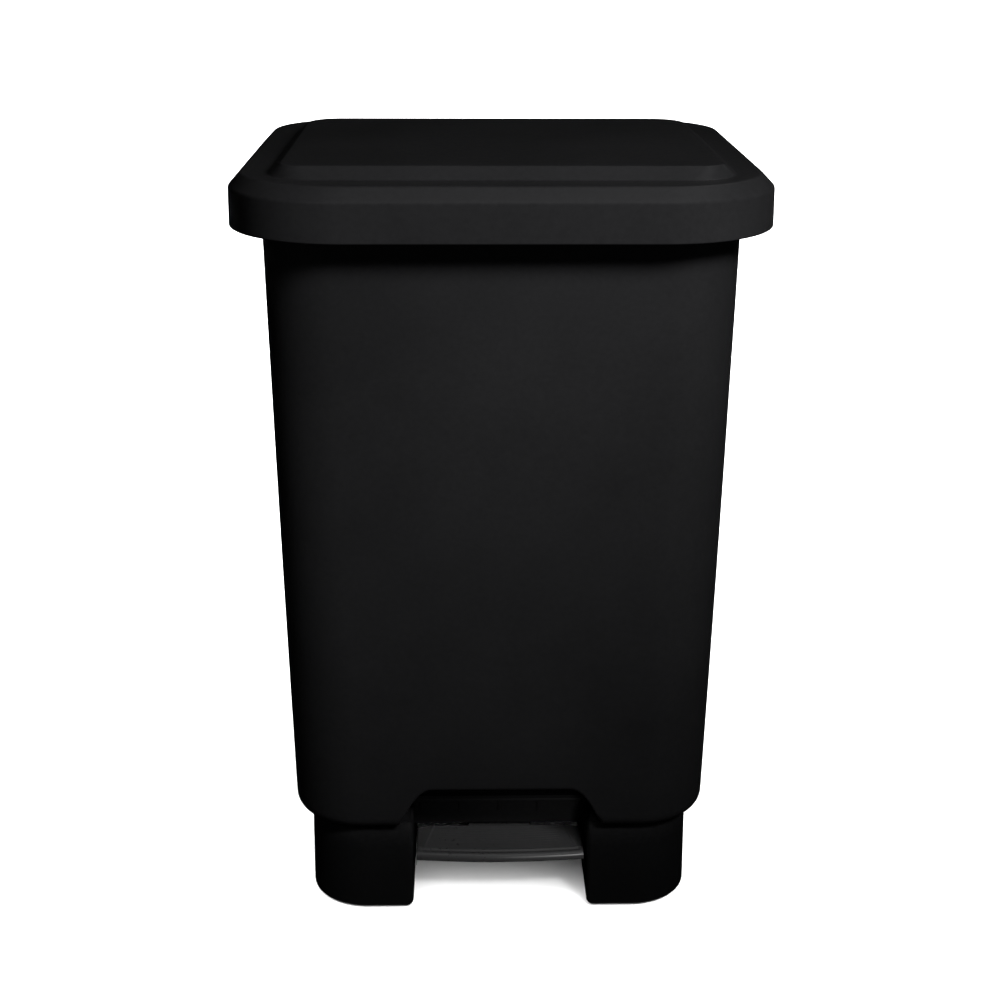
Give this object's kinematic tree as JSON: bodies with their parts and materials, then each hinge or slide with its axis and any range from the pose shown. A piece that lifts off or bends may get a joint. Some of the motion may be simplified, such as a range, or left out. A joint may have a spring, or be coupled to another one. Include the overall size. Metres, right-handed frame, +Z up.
{
  "type": "pedal trash can",
  "caption": "Rectangular step-on bin: tapered tub on a footed base, overhanging hinged lid, and a foot pedal that lifts the lid through a lever and a wire rod.",
  "frame": {"origin": "on the floor, under the middle of the lid's outline", "axes": "+Z up, front towards -Y, +X to the right as seen from the front"},
  "size_m": [0.42, 0.42, 0.64],
  "materials": {
    "tub_plastic": "satin black moulded polypropylene",
    "lid_plastic": "satin black moulded polypropylene",
    "base_plastic": "satin black moulded polypropylene",
    "pedal_plastic": "semi-gloss black moulded plastic",
    "rubber": "matt black rubber",
    "steel": "zinc-plated steel"
  },
  "bodies": {
    "root": {"tub": "tub_plastic", "rear_cover": "tub_plastic", "base_frame": "base_plastic", "rod_guide_lower": "base_plastic", "rod_guide_upper": "base_plastic", "foot_pad_rear_right": "rubber", "foot_pad_rear_left": "rubber", "foot_pad_front_right": "rubber", "foot_pad_front_left": "rubber", "pedal_axle": "steel", "axle_clip_right": "steel", "axle_clip_left": "steel", "hinge_pin_right": "steel", "hinge_pin_left": "steel", "base_screw_rear_right": "steel", "base_screw_rear_left": "steel", "base_screw_front_right": "steel", "base_screw_front_left": "steel"},
    "lid": {"lid": "lid_plastic", "lift_crank": "base_plastic", "crank_screw_right": "steel", "crank_screw_left": "steel", "lid_bumper_right": "rubber", "lid_bumper_left": "rubber"},
    "pedal": {"pedal_lever": "pedal_plastic"},
    "rod": {"lift_rod": "steel", "rod_clip_lower": "steel", "rod_clip_upper": "steel"}
  },
  "joints": [
    {"name": "lid_hinge", "type": "hinge", "parent": "root", "child": "lid", "pos_m": [0, 0.195, 0.6], "axis": [-1, 0, 0], "range_deg": [0, 75]},
    {"name": "pedal_hinge", "type": "hinge", "parent": "root", "child": "pedal", "pos_m": [0, -0.05, 0.036], "axis": [1, 0, 0], "range_deg": [0, 14.6]},
    {"name": "rod_pivot", "type": "hinge", "parent": "pedal", "child": "rod", "pos_m": [0, 0.16, 0.00914], "axis": [1, 0, 0], "range_deg": [-14.6, 0]}
  ],
  "couplings": [
    {"joint": "pedal_hinge", "follows": "lid_hinge", "ratio": 0.19434},
    {"joint": "rod_pivot", "follows": "lid_hinge", "ratio": -0.19434}
  ]
}
